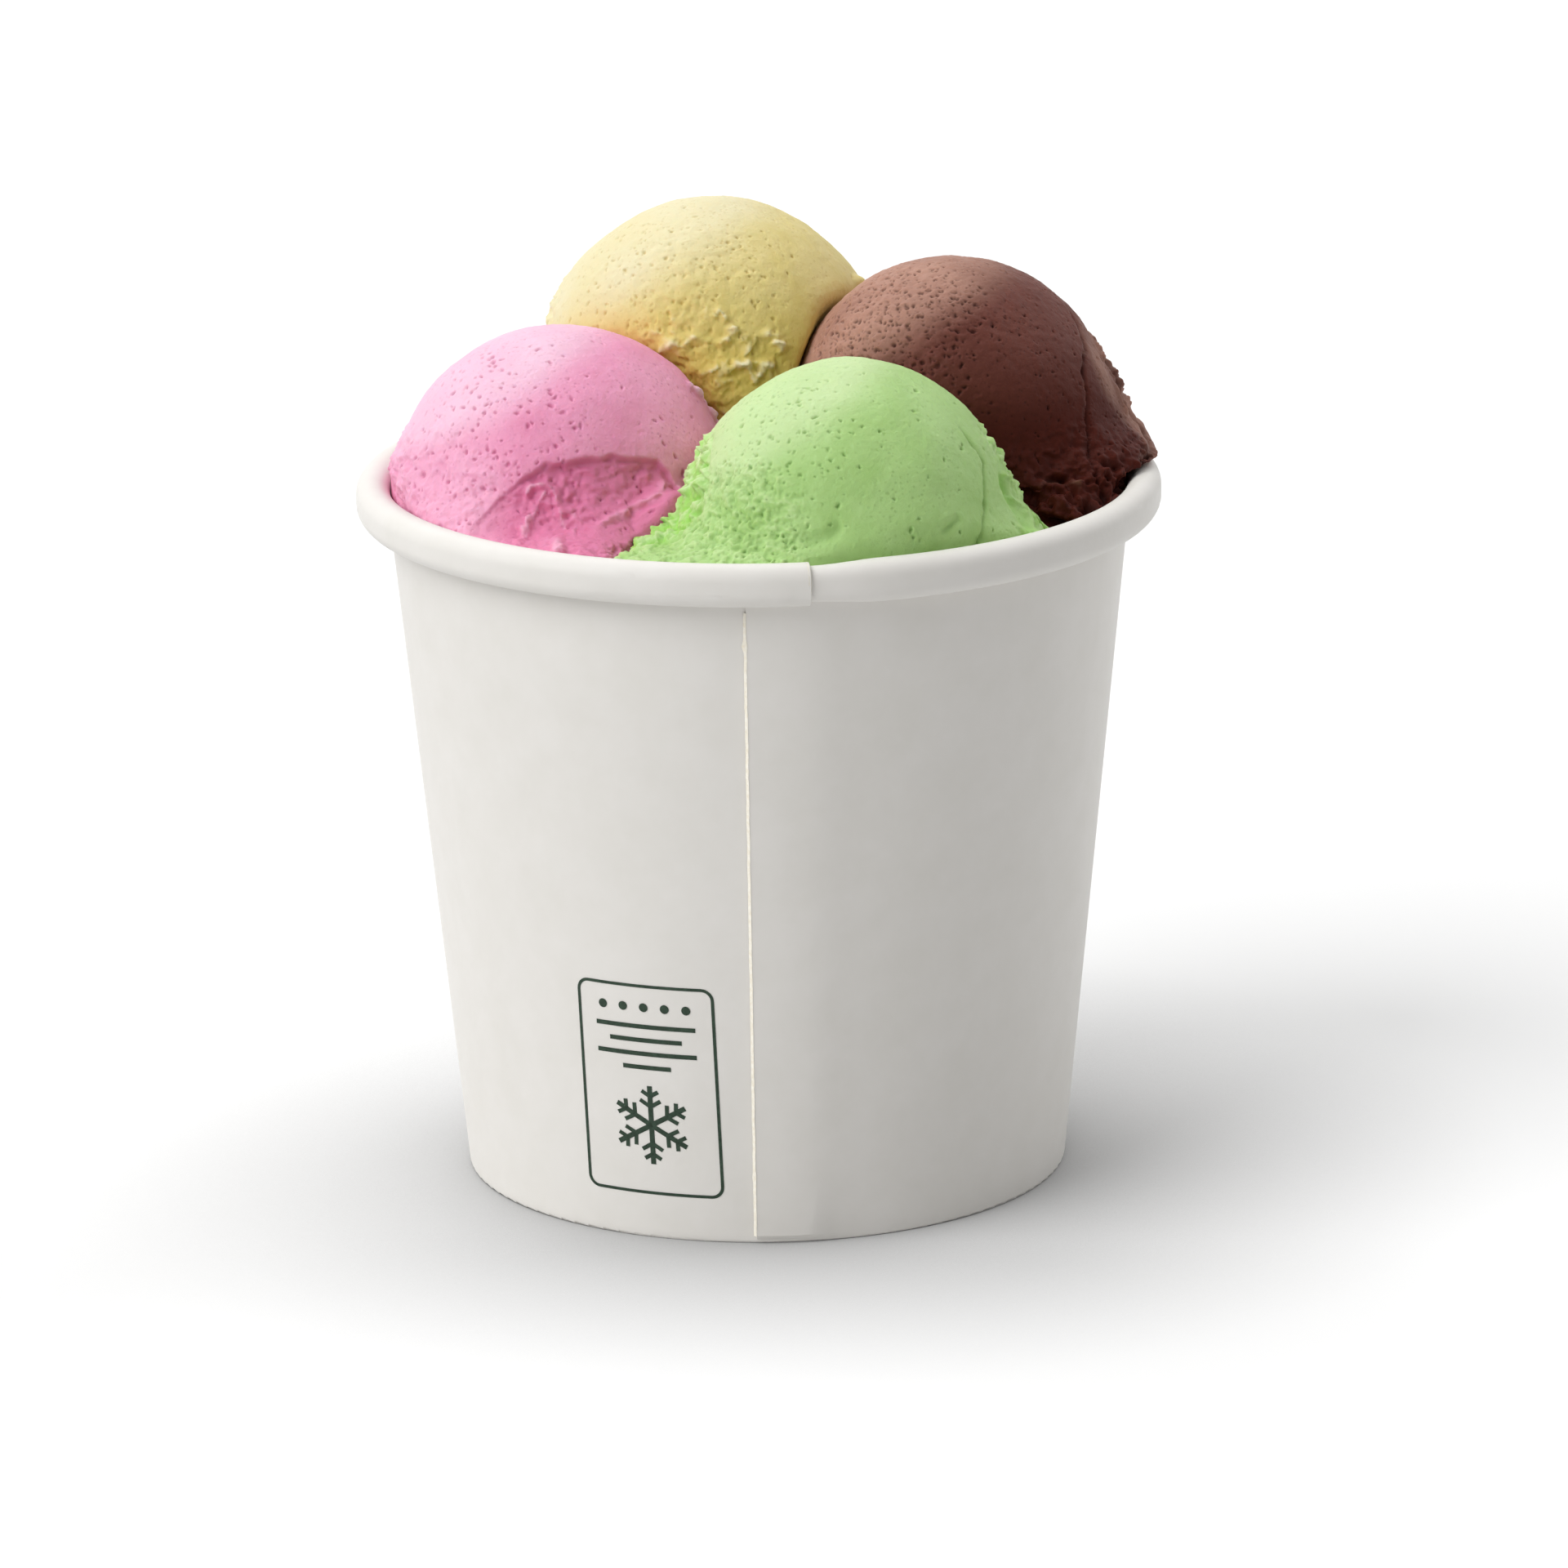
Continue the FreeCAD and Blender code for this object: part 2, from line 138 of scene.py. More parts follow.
wall = merged_copy("cup_sidewall", "wrapped_wall")
bpy.ops.object.shade_smooth_by_angle(angle=CRISP_BEND)
wall.data.materials.append(cup_board("Clay-coated cup board", "#EFECE7", "#EBE8E2"))
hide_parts("cup_sidewall")
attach(wall, "root")

# ---- Raw edges of the board -------------------------------------------------
# The blank is cut, so its edge shows uncoated fibre: a cream line down the side
# lap, nicked by the forming tool, and a short one where the lap ends on the rim,
# which is drawn pale as a painted highlight on the corner of the lap's end.

# Lengths in millimetres.
FOOT_RADIUS = 35.70         # of the wall's outer face
LEAN = 0.0998               # how much wider that face is for each millimetre up
SEAM_BEARING = math.radians(-92.2)
SEAM_FOOT, SEAM_LENGTH = 0.9, 77.2
SEAM_NICKS = ((74.0, 0.75, 0.42), (8.4, 0.7, 0.16))     # height, reach up and down, depth
CUT_THICK, CUT_WIDE = 0.43, 0.36    # the cut edge across the board, and as the line shows
CUT_PROUD, CUT_TUCKED = 0.04, 0.02  # off the wall below it, and under the lap beside it
RIM_END_BEARING = math.radians(-82.95)
RIM_END_WIDE, RIM_END_TUCKED = 0.30, 0.28
RIM_END_PROUD, RIM_END_DEEP = 0.03, 0.10
ROLL_RADIUS, ROLL_HEIGHT, ROLL_BEND = 45.5, 82.3, 2.0
ROLL_START, ROLL_SWEEP = 112, 176   # degrees round the roll that the rim's cut edge covers


def strip(name, long_steps, place):
    """A narrow ribbon; place(along, across), each 0 to 1, gives its points in millimetres."""
    bpy.ops.object.select_all(action="DESELECT")
    bpy.ops.mesh.primitive_grid_add(x_subdivisions=long_steps, y_subdivisions=3, size=1)
    piece = bpy.context.object
    piece.name = name
    for vertex in piece.data.vertices:
        vertex.co = Vector(place(vertex.co.x + 0.5, vertex.co.y + 0.5)) / 1000
    bpy.ops.object.mode_set(mode="EDIT")
    bpy.ops.mesh.select_all(action="SELECT")
    bpy.ops.mesh.remove_doubles(threshold=1e-7)
    bpy.ops.object.mode_set(mode="OBJECT")
    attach(piece, "root")
    return piece


def seam_point(along, across):
    """The cut edge down the side lap, wavering a little and wider at the nicks."""
    height = SEAM_FOOT + SEAM_LENGTH * along
    nick = sum(depth * max(0, 1 - abs(height - middle) / reach) for middle, reach, depth in SEAM_NICKS)
    waver = 0.05 * noise.noise((height * 0.35, 0, 3)) + 0.04 * noise.noise((height * 1.3, 7, 3))
    radius = FOOT_RADIUS + LEAN * height + CUT_PROUD + CUT_THICK * across
    side = (CUT_WIDE + nick) * (1 - across) - CUT_TUCKED + waver - 0.35 * nick
    bearing = SEAM_BEARING - side / radius
    return radius * math.cos(bearing), radius * math.sin(bearing), height


def rim_end_point(along, across):
    """The cut edge where the lap ends, round the outside of the rolled rim, drawn pale as a painted
    highlight.
    """
    turn = math.radians(ROLL_START - ROLL_SWEEP * along)
    bend = ROLL_BEND + RIM_END_PROUD - RIM_END_DEEP * across
    radius = ROLL_RADIUS + bend * math.cos(turn)
    height = ROLL_HEIGHT + bend * math.sin(turn)
    bearing = RIM_END_BEARING + (RIM_END_WIDE * across - RIM_END_TUCKED) / radius
    return radius * math.cos(bearing), radius * math.sin(bearing), height


# Bare pulp: cream, quite matt, with fibres drawn 0.55 mm wide so that they show. On the rim it also serves
# as a painted highlight.
material, tree = new_material("Raw cut board edge and rim highlight")
place = add_node(tree, "ShaderNodeTexCoord").outputs["Object"]
fibre = add_node(tree, "ShaderNodeTexNoise",
                 {"Vector": place, "Scale": 1800.0, "Detail": 3.0, "Roughness": 0.7})
colour = colour_ramp(tree, fibre.outputs["Fac"], [(0.3, "#F3EBD8"), (0.65, "#FFFBF0")])
fuzz = add_node(tree, "ShaderNodeBump",
                {"Height": fibre.outputs["Fac"], "Strength": 0.4, "Distance": 0.00005})
shader = add_node(tree, "ShaderNodeBsdfPrincipled",
                  {"Base Color": colour, "Roughness": 0.85, "Specular IOR Level": 0.2,
                   "Normal": fuzz.outputs["Normal"]})
finish_material(tree, shader)
# The rim strip is a painted highlight as well as the lap's cut edge.
for cut_edge in (strip("seam_edge", 220, seam_point), strip("rim_cut_edge_highlight", 40, rim_end_point)):
    bpy.ops.object.select_all(action="DESELECT")
    cut_edge.data.materials.append(material)
    cut_edge.data.shade_smooth()

# ---- Printed panel ----------------------------------------------------------
# A small panel printed on the blank in dark green ink before it was wrapped:
# a thin round-cornered frame, a snow crystal, a row of dots and plain rules.

# Lengths in millimetres, and places from the panel's middle.
PANEL_BEARING = math.radians(-111.6)
PANEL_MIDDLE = 18.65        # height of its middle on the cup
PANEL_WIDE, PANEL_HIGH, PANEL_CORNER = 17.2, 26.3, 1.5
FRAME_LINE = 0.38
INK_PROUD = 0.025           # how far the ink stands off the board, so that the two don't mix
CRYSTAL = Vector((0.2, -4.4))       # middle of the snow crystal
ARM_LONG, ARM_THICK = 4.9, 0.62
TWIGS = ((2.3, 1.5), (3.6, 1.2))    # how far out along an arm each pair stands, and its length
TWIG_THICK, TWIG_LEAN = 0.5, math.radians(58)
DOT_RADIUS, DOT_PITCH, DOT_ROW = 0.55, 2.6, 10.3
RULE_THICK = 0.55
RULES = ((12.4, 7.9), (9.0, 6.2), (12.4, 4.5), (6.0, 2.8))      # length, and place up the panel


def bar(wide, high, x, y, turn=0.0):
    """A flat printed bar, in steps of 0.6 mm so that it can follow the cup's curve."""
    steps = max(2, int(wide / 0.6))
    bpy.ops.mesh.primitive_grid_add(x_subdivisions=steps, y_subdivisions=2, size=1)
    piece = bpy.context.object
    piece.data.transform(Matrix.Translation((x, y, 0)) @ Matrix.Rotation(turn, 4, "Z")
                         @ Matrix.Diagonal((wide, high, 1, 1)))
    return piece


bpy.ops.object.select_all(action="DESELECT")
bpy.ops.mesh.primitive_plane_add(size=1)
outline = bpy.context.object
outline.data.transform(Matrix.Diagonal((PANEL_WIDE, PANEL_HIGH, 1, 1)))
bpy.ops.object.mode_set(mode="EDIT")
bpy.ops.mesh.select_all(action="SELECT")
bpy.ops.mesh.bevel(offset=PANEL_CORNER, segments=8, affect="VERTICES")
bpy.ops.mesh.inset(thickness=FRAME_LINE)
bpy.ops.mesh.delete(type="FACE")
bpy.ops.mesh.select_all(action="SELECT")
bpy.ops.mesh.subdivide(number_cuts=1)
bpy.ops.mesh.subdivide(number_cuts=15)
bpy.ops.object.mode_set(mode="OBJECT")

marks = [outline]
for arm in range(6):
    around = math.radians(60 * arm + 30)
    way_out = Vector((math.cos(around), math.sin(around)))
    marks.append(bar(ARM_LONG, ARM_THICK, *(CRYSTAL + way_out * (ARM_LONG / 2)), around))
    for distance, length in TWIGS:
        for side in (-1, 1):
            lean_out = around + side * TWIG_LEAN
            twig_way = Vector((math.cos(lean_out), math.sin(lean_out)))
            middle = CRYSTAL + way_out * distance + twig_way * length / 2
            marks.append(bar(length, TWIG_THICK, *middle, lean_out))
for place in range(-2, 3):
    bpy.ops.mesh.primitive_circle_add(vertices=20, radius=DOT_RADIUS, fill_type="NGON", location=(0, 0, 0))
    bpy.context.object.data.transform(Matrix.Translation((place * DOT_PITCH, DOT_ROW, 0)))
    marks.append(bpy.context.object)
for length, y in RULES:
    marks.append(bar(length, RULE_THICK, 0, y))
bpy.ops.object.select_all(action="DESELECT")
for mark in marks:
    mark.select_set(True)
bpy.context.view_layer.objects.active = outline
bpy.ops.object.join()
panel = bpy.context.object
panel.name = "printed_panel"
for vertex in panel.data.vertices:
    height = PANEL_MIDDLE + vertex.co.y
    radius = FOOT_RADIUS + LEAN * height + INK_PROUD
    bearing = PANEL_BEARING + vertex.co.x / radius
    vertex.co = Vector((radius * math.cos(bearing), radius * math.sin(bearing), height)) / 1000
bpy.ops.object.mode_set(mode="EDIT")
bpy.ops.mesh.select_all(action="SELECT")
bpy.ops.mesh.remove_doubles(threshold=1e-7)
bpy.ops.mesh.normals_make_consistent(inside=False)
bpy.ops.object.mode_set(mode="OBJECT")

# Printing ink: dark and flat, mottled at 0.6 mm where the board took it up unevenly.
material, tree = new_material("Dark green flexo ink")
place = add_node(tree, "ShaderNodeTexCoord").outputs["Object"]
mottle = add_node(tree, "ShaderNodeTexNoise",
                  {"Vector": place, "Scale": 1600.0, "Detail": 2.0, "Roughness": 0.6})
colour = colour_ramp(tree, mottle.outputs["Fac"], [(0.35, "#26382A"), (0.7, "#35493A")])
shader = add_node(tree, "ShaderNodeBsdfPrincipled",
                  {"Base Color": colour, "Roughness": 0.5, "Specular IOR Level": 0.3})
finish_material(tree, shader)
panel.data.materials.append(material)
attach(panel, "root")

# ---- Base -------------------------------------------------------------------
# A disc of the same board with its edge turned down, raised inside the foot.
# Only its underside shows, uncoated and a little greyer than the wall.
base = merged_copy("cup_base", "raised_base")
bpy.ops.object.shade_smooth_by_angle(angle=CRISP_BEND)
base.data.materials.append(cup_board("Uncoated base board", "#E9E5DD", "#E3DED4"))
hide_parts("cup_base")
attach(base, "root")

# ---- Vanilla scoop ----------------------------------------------------------
# A ball of vanilla ice cream, pressed in at the back with a cold steel scoop.
# The face is smooth with small air bubbles; its foot tore where the scoop
# let go and left pale curled flakes.

# Scoops are worked in millimetres. A place on one is a bearing and an elevation in degrees,
# seen from the middle of its ball, and a line on one is a list of such places.
FILL_LEVEL = 0.0819         # surface of the ice cream round the scoops, in metres
BURIED = FILL_LEVEL - 0.005         # below this a scoop stays as the solid is
VOXEL = 0.00020             # of the fine mesh, in metres
MOST_TRIANGLES = 178000     # in the part of a scoop that shows
WORKED_FROM, WORKED_ABOVE = 79.5, 81.0      # the relief grows between these heights
MOUTH_RADIUS, MOUTH_HEIGHT = 43.4, 85.2     # up to this height the rim holds the ice cream in
HELD_RELIEF = 0.3           # the most relief within 1 mm of the mouth
VANILLA_MIDDLE, VANILLA_RADIUS = (-5.32, 22.0, 91.4), 20.7
VANILLA_CURLS = [
    [(-81, 14), (-78, 17), (-74, 21), (-68, 22), (-63, 20)],
    [(-69, 22), (-65, 19), (-67, 15)],
    [(-86, 9), (-83, 14), (-79, 14), (-77, 10), (-75, 7)],
    [(-76, 8), (-72, 13), (-68, 13)],
    [(-95, 9), (-92, 12), (-87, 14)],
    [(-101, 20), (-97, 23), (-93, 21)],
    [(-89, 20), (-84, 23), (-80, 27)],
    [(-111, 17), (-104, 20), (-97, 19)],
    [(-91, 27), (-87, 31), (-83, 28)]]
VANILLA_FLAP = [(-6, 35), (-5, 29), (-9, 22), (-16, 16)]


def scrambled(cells, salt):
    """A number from 0 to 1 for each whole-number cell, the same on every run."""
    mixed = (cells[..., 0] * 73856093) ^ (cells[..., 1] * 19349663) ^ (cells[..., 2] * 83492791)
    mixed = (mixed ^ (salt * 40503 + 977)) & 0xFFFFFFFF
    mixed = ((mixed ^ (mixed >> 15)) * 73244475) & 0xFFFFFFFF
    mixed = ((mixed ^ (mixed >> 15)) * 73244475) & 0xFFFFFFFF
    return ((mixed ^ (mixed >> 16)) & 0xFFFFFF) / 0xFFFFFF


def cloud(at, size, salt):
    """Smooth lumps, -1 to 1, about size millimetres across."""
    spot = at / size
    cell = np.floor(spot).astype(np.int64)
    part = spot - cell
    part = part * part * (3 - 2 * part)
    total = np.zeros(len(at))
    for corner in np.ndindex(2, 2, 2):
        weight = np.ones(len(at))
        for axis in range(3):
            weight = weight * (part[:, axis] if corner[axis] else 1 - part[:, axis])
        total += weight * scrambled(cell + np.array(corner), salt)
    return 2 * total - 1


def drift(at, size, salt):
    """A smooth shift of each point, -1 to 1 along each axis, to bend a pattern with."""
    return np.stack([cloud(at, size, salt + axis) for axis in range(3)], axis=1)


def bubbles(at, spacing, salt):
    """Scattered air bubbles: millimetres to the nearest, and a number of its own for each."""
    spot = at / spacing
    cell = np.floor(spot).astype(np.int64)
    nearest = np.full(len(at), 9.0)
    own = np.zeros(len(at))
    for step in np.ndindex(3, 3, 3):
        near = cell + np.array(step) - 1
        point = near + np.stack([scrambled(near, salt + axis) for axis in (1, 2, 3)], axis=1)
        away = np.linalg.norm(spot - point, axis=1)
        closer = away < nearest
        nearest[closer] = away[closer]
        own[closer] = scrambled(near, salt + 4)[closer]
    return nearest * spacing, own


def ease(value, low, high):
    """0 below low, 1 above high, smooth between."""
    step = np.clip((value - low) / (high - low), 0, 1)
    return step * step * (3 - 2 * step)


def towards(bearing, elevation):
    """The direction of a bearing and an elevation, as a unit vector."""
    around, up = math.radians(bearing), math.radians(elevation)
    return np.array([math.cos(up) * math.cos(around), math.cos(up) * math.sin(around), math.sin(up)])


def elevation_of(way):
    """The elevation of each direction, in degrees."""
    return np.degrees(np.arcsin(np.clip(way[:, 2], -1, 1)))


def patch(way, bearing, elevation, width, fade):
    """1 within width degrees of a direction, falling to 0 over fade degrees more."""
    angle = np.degrees(np.arccos(np.clip(way @ towards(bearing, elevation), -1, 1)))
    return 1 - ease(angle, width, width + fade)


def swell(at, wide, narrow, salt):
    """The slow unevenness of a ball that was pressed by hand, in millimetres."""
    return 0.30 * cloud(at, wide, salt) + 0.10 * cloud(at, narrow, salt + 1)


def open_pits(at, amount, spacing, low, high, salt):
    """Pits of broken bubbles, low to high in radius, 0 to 1 deep. Amount is the share
    of the bubbles that broke."""
    pits = np.zeros(len(at))
    some = amount > 0.01
    bent = at[some] + 0.33 * spacing * drift(at[some], 0.8 * spacing, salt + 5)
    away, own = bubbles(bent, spacing, salt)
    size = low + (high - low) * own / np.maximum(amount[some], 0.01)
    pits[some] = np.where(own < amount[some], np.clip(1 - (away / size) ** 2, 0, 1), 0)
    return pits


def torn(at, size, salt):
    """Crumbly torn ice cream, flaked and pocketed, about size millimetres across. -1 to 1."""
    bent = at + 0.5 * size * drift(at, size * 1.4, salt + 5)
    flat_flakes = cloud(bent * [0.8, 0.8, 1.5], size, salt)
    crumbs = cloud(bent, size * 0.5, salt + 1)
    fine = cloud(at, size * 0.27, salt + 2)
    return np.clip(0.75 * flat_flakes + 0.5 * crumbs + 0.3 * fine, -1, 1)


def lips(at, pitch, salt):
    """Ragged lips, one above the other, as the scoop's edge leaves them. 0 to 1."""
    waver = 1.2 * cloud(at, pitch * 2.6, salt)
    layer = at[:, 2] / pitch + waver + 0.35 * cloud(at, pitch * 0.8, salt + 2)
    step = layer - np.floor(layer)
    step = ease(step, 0.0, 0.2) * (1 - step)
    return step * ease(cloud(at, pitch * 1.5, salt + 1), -0.2, 0.5)


def crease(way, radius, line, width, salt):
    """A line of (bearing, elevation) points on a scoop, 1 on it and 0 well beyond width
    millimetres, wavering and fading at its ends; and which side of it each point is on."""
    at = way * radius
    way = way + 0.02 * drift(at, 2.6, salt + 201)
    best = np.full(len(way), 99.0)
    side = np.zeros(len(way))
    part = np.zeros(len(way))
    points = [towards(*spot) for spot in line]
    for number, (a, b) in enumerate(zip(points, points[1:])):
        along = np.clip(((way - a) @ (b - a)) / ((b - a) @ (b - a)), 0, 1)
        away = way - (a + along[:, None] * (b - a))
        distance = np.linalg.norm(away, axis=1) * radius
        closer = distance < best
        best[closer] = distance[closer]
        side[closer] = (away @ np.cross(b - a, a))[closer]
        part[closer] = ((number + along) / (len(points) - 1))[closer]
    uneven = 0.8 + 0.4 * cloud(at, 1.8, salt + 204)
    fade = ease(part, 0, 0.25) * (1 - ease(part, 0.85, 1.0)) * uneven
    return fade * np.exp(-(best / width) ** 2), np.sign(side)


def flakes(way, radius, lines, width, salt):
    """Curled flakes standing along lines, steep on one side, 0 to 1."""
    most = np.zeros(len(way))
    for number, line in enumerate(lines):
        near = way @ towards(*line[len(line) // 2]) > 0.90
        ridge, side = crease(way[near], radius, line, width, salt + 11 * number)
        most[near] = np.maximum(most[near], np.where(side > 0, ridge ** 3, ridge))
    at = way * radius
    return most * (0.75 + 0.5 * cloud(at, 0.7, salt + 5)) * ease(cloud(at, 1.5, salt + 6), -0.95, -0.4)


def grain(at, salt):
    """Ice crystals and fine bubbles all over, in millimetres."""
    holes = open_pits(at * [1, 1, 0.8], np.full(len(at), 0.30), 0.60, 0.07, 0.20, salt + 3)
    return 0.034 * cloud(at, 0.75, salt) + 0.030 * cloud(at, 0.42, salt + 1) - 0.11 * holes


def foot_band(at, way, salt):
    """1 round the foot of a scoop and 0 above it, with an uneven border."""
    return 1 - ease(elevation_of(way) + 4 * cloud(at, 6.0, salt + 2), -6, 9)


def ragged_foot(at, way, salt):
    """Torn lips round the foot of a scoop, in millimetres."""
    ragged = 0.45 * lips(at, 1.9, salt) + 0.42 * torn(at, 1.6, salt + 3) - 0.15
    return foot_band(at, way, salt) * ragged


def cut_level(height, **side):
    """Cut the active piece level and close the cut; side says which half is cleared."""
    bpy.ops.object.mode_set(mode="EDIT")
    bpy.ops.mesh.select_all(action="SELECT")
    bpy.ops.mesh.bisect(plane_co=(0, 0, height), plane_no=(0, 0, 1), use_fill=True, **side)
    bpy.ops.object.mode_set(mode="OBJECT")


def apply_modifier(kind, **settings):
    """Give the active piece a modifier with its settings, and apply it."""
    bpy.ops.object.modifier_add(type=kind)
    modifier = bpy.context.object.modifiers[-1]
    for key, value in settings.items():
        setattr(modifier, key, value)
    bpy.ops.object.modifier_apply(modifier=modifier.name)


def per_vertex(mesh, what):
    """The place ("co") or the normal of each vertex, one row each."""
    flat = np.empty(len(mesh.vertices) * 3)
    mesh.vertices.foreach_get(what, flat)
    return flat.reshape(-1, 3)


def sculpted_scoop(node, name, middle, shape):
    """The part of a scoop that shows, finely meshed and worked by shape; below, as it was.

    shape(at, way) takes each point's place and its direction from the middle. It gives how
    far the surface moves out in millimetres, and, from 0 to 1, how much painted shade each point
    gets in pits and creases, how much of the deeper tint for torn, wet ice cream and painted
    shade, and how much of the paler tint for frost and painted light.
    """
    low = merged_copy(node, name + "_buried")
    cut_level(BURIED, clear_outer=True)
    piece = merged_copy(node, name)
    bpy.ops.object.mode_set(mode="EDIT")
    bpy.ops.mesh.select_all(action="SELECT")
    bpy.ops.mesh.tris_convert_to_quads(face_threshold=1.0, shape_threshold=1.2)
    bpy.ops.object.mode_set(mode="OBJECT")
    apply_modifier("SUBSURF", levels=2, render_levels=2)
    cut_level(BURIED, clear_inner=True)
    apply_modifier("REMESH", mode="VOXEL", voxel_size=VOXEL)
    apply_modifier("SMOOTH", iterations=4)

    mesh = piece.data
    at = per_vertex(mesh, "co") * 1000
    out = per_vertex(mesh, "normal")
    way = at - np.array(middle)
    way = way / np.linalg.norm(way, axis=1)[:, None]
    lift, pit_shade, deeper_tint, frost_and_light = shape(at, way)
    room = MOUTH_RADIUS - np.hypot(at[:, 0], at[:, 1])
    held = (at[:, 2] < MOUTH_HEIGHT) & (room < 1.0)
    lift = np.where(held, np.minimum(lift, np.clip(room, 0, 1) * HELD_RELIEF), lift)
    lift = lift * ease(at[:, 2], WORKED_FROM, WORKED_ABOVE)
    mesh.vertices.foreach_set("co", ((at + out * lift[:, None]) / 1000).ravel())
    # These carry painted shade and painted light to the material, as well as wetness and frost.
    for label, amount in (("pit_shade", pit_shade), ("deeper_tint", deeper_tint), ("frost_and_light", frost_and_light)):
        mesh.attributes.new(label, "FLOAT", "POINT").data.foreach_set("value", np.clip(amount, 0, 1))
        low.data.attributes.new(label, "FLOAT", "POINT")
    mesh.update()
    triangles = 2 * len(mesh.polygons)
    if triangles > MOST_TRIANGLES:
        apply_modifier("DECIMATE", ratio=MOST_TRIANGLES / triangles)
    low.select_set(True)
    bpy.ops.object.join()
    bpy.ops.object.shade_smooth()
    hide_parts(node)
    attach(piece, "root")
    return piece


def ice_cream(name, face, shade, pit_shade_colour, deeper_tint_colour, frost_and_light_colour, roughness=0.5, bite=1.0, shine=0.4):
    """Ice cream: aerated, so light goes a little way in and its shadows are soft.

    Cloudy at 6 mm, with specks of open bubbles and ice crystals 0.7 mm apart. Painted shade
    darkens it in the pits, creases and specks. It takes a deeper tint where it is torn and wet,
    and as painted shade low down and in creases, and on the pistachio as painted light through
    thin edges; and a paler one where frosted, and as painted light on the side facing the lamps
    and on raised bits. Bite is how strongly the specks show, and shine is the specular level.
    """
    material, tree = new_material(name)
    place = add_node(tree, "ShaderNodeTexCoord").outputs["Object"]
    wide = add_node(tree, "ShaderNodeTexNoise",
                    {"Vector": place, "Scale": 170.0, "Detail": 4.0, "Roughness": 0.62})
    colour = colour_ramp(tree, wide.outputs["Fac"], [(0.32, shade), (0.62, face)])
    crystals = add_node(tree, "ShaderNodeTexNoise",
                        {"Vector": place, "Scale": 1500.0, "Detail": 3.0, "Roughness": 0.7})
    specks = add_node(tree, "ShaderNodeTexVoronoi", {"Vector": place, "Scale": 1500.0})
    speck = add_node(tree, "ShaderNodeMapRange",
                     {"Value": specks.outputs["Distance"], "From Min": 0.10, "From Max": 0.34,
                      "To Min": 1.0, "To Max": 0.0})
    chosen = add_node(tree, "ShaderNodeMapRange",
                      {"Value": wide.outputs["Fac"], "From Min": 0.42, "From Max": 0.62,
                       "To Min": 0.0, "To Max": 0.55 * bite})
    speck = add_node(tree, "ShaderNodeMath", {0: speck.outputs["Result"], 1: chosen.outputs["Result"]},
                     operation="MULTIPLY")
    # The deeper tint serves for torn, wet ice cream and for painted shade; the paler one for frost and for
    # painted light.
    for label, tint in (("deeper_tint", deeper_tint_colour), ("frost_and_light", frost_and_light_colour)):
        amount = add_node(tree, "ShaderNodeAttribute", attribute_name=label)
        tinted = add_node(tree, "ShaderNodeMix",
                          {"Factor": amount.outputs["Fac"], "A": colour, "B": linear(tint)},
                          data_type="RGBA")
        colour = tinted.outputs["Result"]
    # Painted shade: the pits, creases and bubble specks are darkened towards the pit colour.
    pit_shade = add_node(tree, "ShaderNodeAttribute", attribute_name="pit_shade")
    dark = add_node(tree, "ShaderNodeMath", {0: pit_shade.outputs["Fac"], 1: speck.outputs[0]},
                    operation="MAXIMUM")
    dark = add_node(tree, "ShaderNodeMath", {0: dark.outputs[0], 1: 0.72}, operation="MULTIPLY")
    pit_shaded = add_node(tree, "ShaderNodeMix", {"Factor": dark.outputs[0], "A": colour, "B": linear(pit_shade_colour)},
                      data_type="RGBA")
    hole = add_node(tree, "ShaderNodeBump",
                    {"Height": speck.outputs[0], "Strength": 0.6 * bite, "Distance": 0.00018},
                    invert=True)
    rough = add_node(tree, "ShaderNodeBump",
                     {"Height": crystals.outputs["Fac"], "Strength": 0.6, "Distance": 0.00018,
                      "Normal": hole.outputs["Normal"]})
    shader = add_node(tree, "ShaderNodeBsdfPrincipled",
                      {"Base Color": pit_shaded.outputs["Result"], "Roughness": roughness, "IOR": 1.34,
                       "Specular IOR Level": shine, "Subsurface Weight": 0.3,
                       "Subsurface Radius": (1.0, 0.75, 0.55), "Subsurface Scale": 0.0012,
                       "Normal": rough.outputs["Normal"]})
    finish_material(tree, shader)
    return material


